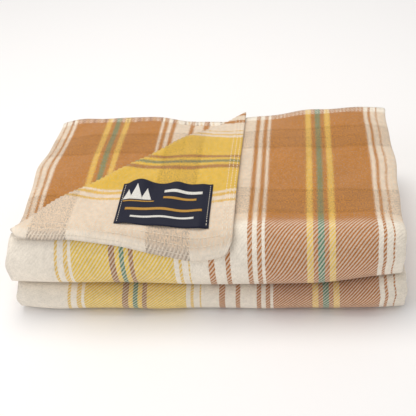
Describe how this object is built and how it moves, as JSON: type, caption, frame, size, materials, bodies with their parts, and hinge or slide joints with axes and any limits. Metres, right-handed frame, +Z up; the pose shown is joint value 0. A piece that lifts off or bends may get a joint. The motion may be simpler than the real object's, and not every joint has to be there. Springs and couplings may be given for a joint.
{
  "type": "folded camp blanket",
  "caption": "Striped wool camp blanket folded into a low stack, with one corner turned back to show a woven label.",
  "frame": {"origin": "middle of the footprint, on the underside of the lowest layer", "axes": "+X along the folded width, +Z up, -Y out of the two front rolls"},
  "size_m": [0.44, 0.2847, 0.1134],
  "materials": {
    "wool_plaid": "napped wool twill in warp stripes of gold, brown, green and undyed white, with grey weft bands",
    "label": "navy woven damask with white and ochre motifs",
    "thread": "undyed spun polyester sewing thread"
  },
  "bodies": {
    "lower_half": {"lower_quarter_1": "wool_plaid", "lower_quarter_2": "wool_plaid", "lower_quarter_3": "wool_plaid", "lower_quarter_4": "wool_plaid"},
    "upper_half": {"upper_face_quarter_1": "wool_plaid", "upper_face_quarter_2": "wool_plaid", "upper_face_quarter_3": "wool_plaid", "upper_face_quarter_4": "wool_plaid", "upper_lining_quarter_1": "wool_plaid", "upper_lining_quarter_2": "wool_plaid", "upper_lining_quarter_3": "wool_plaid", "upper_lining_quarter_4": "wool_plaid", "top_end_stitch_1": "thread", "top_end_stitch_2": "thread", "top_end_stitch_3": "thread", "second_end_stitch_1": "thread", "second_end_stitch_2": "thread", "second_end_stitch_3": "thread"},
    "corner_flap": {"turned_corner": "wool_plaid", "woven_label": "label", "corner_side_stitch_1": "thread", "corner_side_stitch_2": "thread", "corner_side_stitch_3": "thread", "corner_end_stitch_1": "thread", "corner_end_stitch_2": "thread", "corner_end_stitch_3": "thread", "label_stitch_inner": "thread", "label_stitch_outer": "thread"}
  },
  "joints": [
    {"name": "upper_half_open", "type": "hinge", "parent": "lower_half", "child": "upper_half", "pos_m": [0, 0.1425, 0.05425], "axis": [-1, 0, 0], "range_deg": [0, 180]},
    {"name": "corner_unfold", "type": "hinge", "parent": "upper_half", "child": "corner_flap", "pos_m": [-0.092, 0.009, 0.1094], "axis": [-0.7071, -0.7071, 0], "range_deg": [0, 180]}
  ]
}
